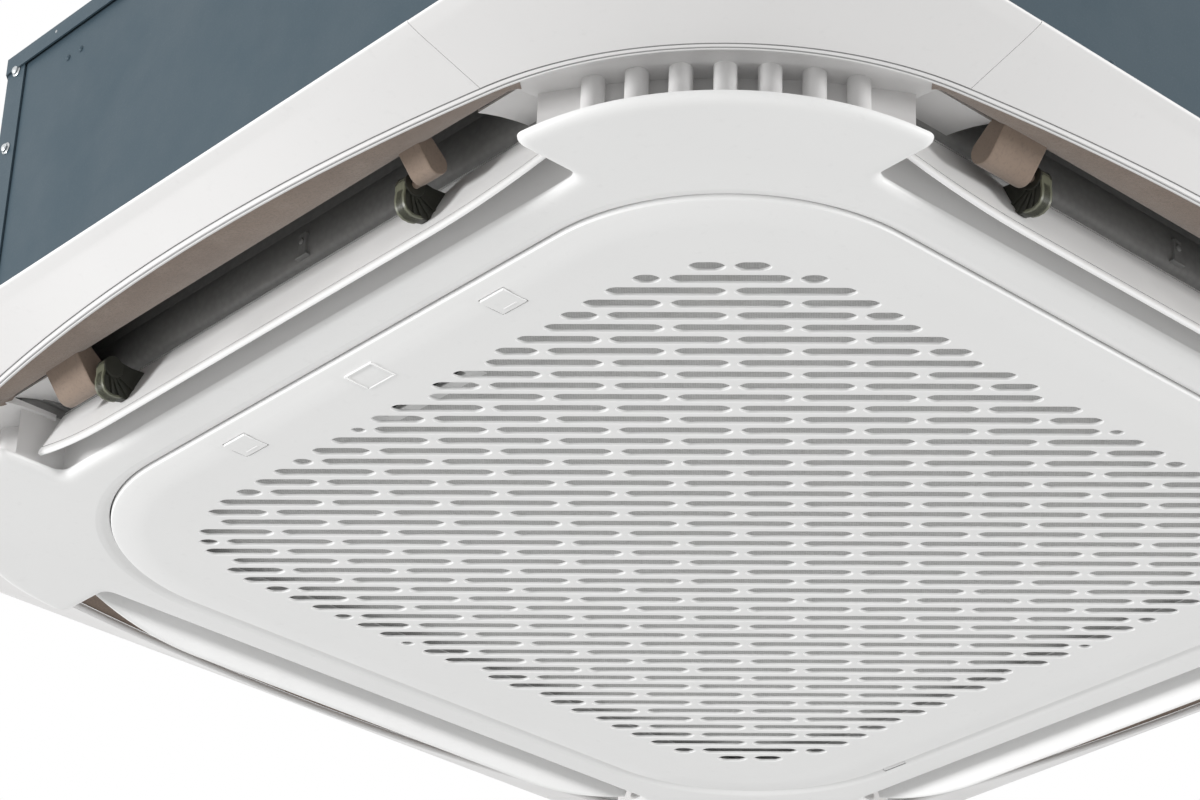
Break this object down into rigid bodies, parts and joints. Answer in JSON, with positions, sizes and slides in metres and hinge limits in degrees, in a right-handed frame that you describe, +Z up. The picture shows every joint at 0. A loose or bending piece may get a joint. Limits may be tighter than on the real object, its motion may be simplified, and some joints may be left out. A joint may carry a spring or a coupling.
{
  "type": "ceiling cassette air conditioner",
  "caption": "Square ceiling cassette indoor unit: cut-corner steel casing above a white panel with louvered outlets round a hinged slotted intake grille.",
  "frame": {"origin": "middle of the ceiling opening, on the ceiling plane, where the panel's outer edge meets the ceiling", "axes": "+Z up, out of the room into the ceiling void; -Y towards the side of the grille with the latch buttons, +Y towards its hinge; +X, +Y corner is the pipe corner"},
  "size_m": [0.95, 0.95, 0.2953],
  "materials": {
    "panel_white": "satin moulded plastic",
    "ring_white": "satin moulded plastic",
    "flocked_liner": "short flocking",
    "filter_mesh": "fine woven mesh in a moulded frame",
    "casing_paint": "semi-gloss coated sheet",
    "galvanised_steel": "spangled zinc",
    "insulating_foam": "closed-cell foam",
    "drain_pan_foam": "dark foam with a smooth skin",
    "fin_pack": "close-set bare fins",
    "fan_plastic": "moulded plastic",
    "black_plastic": "moulded plastic",
    "copper_pipe": "drawn copper tube",
    "brass_nut": "turned",
    "circuit_board": "coated board"
  },
  "bodies": {
    "unit": {"centre_plate": "panel_white", "panel_frame": "panel_white", "outer_ring": "ring_white", "corner_cover_front": "ring_white", "corner_cover_right": "ring_white", "corner_cover_rear": "ring_white", "corner_cover_left": "ring_white", "outlet_flare_front": "flocked_liner", "outlet_flare_right": "flocked_liner", "outlet_flare_rear": "flocked_liner", "outlet_flare_left": "flocked_liner", "casing_top": "casing_paint", "side_panel_front": "casing_paint", "side_panel_right": "casing_paint", "side_panel_rear": "casing_paint", "side_panel_left": "casing_paint", "corner_panel_front": "casing_paint", "corner_panel_right": "casing_paint", "corner_panel_rear": "casing_paint", "corner_panel_left": "casing_paint", "hanger_bracket_front": "galvanised_steel", "hanger_bracket_right": "galvanised_steel", "hanger_bracket_rear": "galvanised_steel", "hanger_bracket_left": "galvanised_steel", "coil_end_plate_right": "galvanised_steel", "coil_end_plate_rear": "galvanised_steel", "control_box": "galvanised_steel", "control_box_cover": "galvanised_steel", "louver_motor_front": "galvanised_steel", "louver_motor_right": "galvanised_steel", "louver_motor_rear": "galvanised_steel", "louver_motor_left": "galvanised_steel", "foam_liner": "insulating_foam", "drain_pan": "drain_pan_foam", "duct_gasket": "drain_pan_foam", "cooling_coil": "fin_pack", "drain_pump": "fan_plastic", "drain_pipe": "fan_plastic", "bell_mouth": "black_plastic", "fan_motor": "black_plastic", "cable_gland": "black_plastic", "gas_pipe": "copper_pipe", "liquid_pipe": "copper_pipe", "gas_flare_nut": "brass_nut", "liquid_flare_nut": "brass_nut", "control_board": "circuit_board"},
    "louver_front": {"louver_front": "panel_white"},
    "louver_right": {"louver_right": "panel_white"},
    "louver_rear": {"louver_rear": "panel_white"},
    "louver_left": {"louver_left": "panel_white"},
    "grille_door": {"intake_grille": "panel_white", "air_filter": "filter_mesh"},
    "latch_left": {"latch_button_left": "panel_white"},
    "latch_right": {"latch_button_right": "panel_white"},
    "fan_rotor": {"turbo_fan": "fan_plastic", "fan_shaft": "galvanised_steel", "fan_nut": "galvanised_steel"},
    "pump_rotor": {"pump_impeller": "black_plastic"},
    "float": {"pump_float": "fan_plastic"}
  },
  "joints": [
    {"name": "louver_front_swing", "type": "hinge", "parent": "unit", "child": "louver_front", "pos_m": [0, -0.386, -0.015], "axis": [-1, 0, 0], "range_deg": [-8, 80]},
    {"name": "louver_right_swing", "type": "hinge", "parent": "unit", "child": "louver_right", "pos_m": [0.386, 0, -0.015], "axis": [0, -1, 0], "range_deg": [-8, 80]},
    {"name": "louver_rear_swing", "type": "hinge", "parent": "unit", "child": "louver_rear", "pos_m": [0, 0.386, -0.015], "axis": [1, 0, 0], "range_deg": [-8, 80]},
    {"name": "louver_left_swing", "type": "hinge", "parent": "unit", "child": "louver_left", "pos_m": [-0.386, 0, -0.015], "axis": [0, 1, 0], "range_deg": [-8, 80]},
    {"name": "grille_hinge", "type": "hinge", "parent": "unit", "child": "grille_door", "pos_m": [0, 0.3275, -0.0386], "axis": [1, 0, 0], "range_deg": [0, 90]},
    {"name": "latch_left_push", "type": "slide", "parent": "grille_door", "child": "latch_left", "axis": [0, 0, 1], "range_m": [0, 0.003], "stiffness_N_per_m": 300},
    {"name": "latch_right_push", "type": "slide", "parent": "grille_door", "child": "latch_right", "axis": [0, 0, 1], "range_m": [0, 0.003], "stiffness_N_per_m": 300},
    {"name": "fan_spin", "type": "hinge", "parent": "unit", "child": "fan_rotor", "pos_m": [0, 0, 0.15], "axis": [0, 0, 1], "continuous": true},
    {"name": "pump_spin", "type": "hinge", "parent": "unit", "child": "pump_rotor", "pos_m": [0.215, 0.318, 0.06], "axis": [0, 0, 1], "continuous": true},
    {"name": "float_rise", "type": "slide", "parent": "unit", "child": "float", "axis": [0, 0, 1], "range_m": [0, 0.015]}
  ]
}
